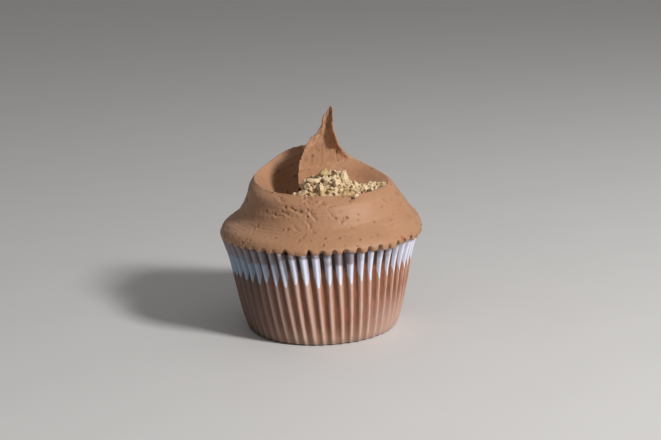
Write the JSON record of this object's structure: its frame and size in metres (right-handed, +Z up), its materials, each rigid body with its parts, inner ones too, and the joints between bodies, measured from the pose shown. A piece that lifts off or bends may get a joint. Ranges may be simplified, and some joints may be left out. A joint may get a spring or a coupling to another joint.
{
  "type": "cupcake",
  "caption": "Cupcake in a pleated paper baking case, topped with swirled buttercream drawn up to a peak and a heap of crumbs.",
  "frame": {"origin": "centre of the paper case's flat base, on the surface it stands on", "axes": "+Z up, +X to the cake's right and -Y to its front, where the swirl opens"},
  "size_m": [0.0674, 0.067, 0.0733],
  "materials": {
    "baking_paper": "thin greaseproof paper, dry and white near the top, stained brown by the cake's fat below",
    "sponge": "baked sponge, matt and porous",
    "buttercream": "light milk chocolate buttercream, soft satin with knife marks and small air holes",
    "crumbs": "crushed biscuit, matt"
  },
  "bodies": {
    "root": {"paper_case": "baking_paper", "sponge_cake": "sponge", "frosting": "buttercream", "crumb_topping": "crumbs"}
  },
  "joints": []
}
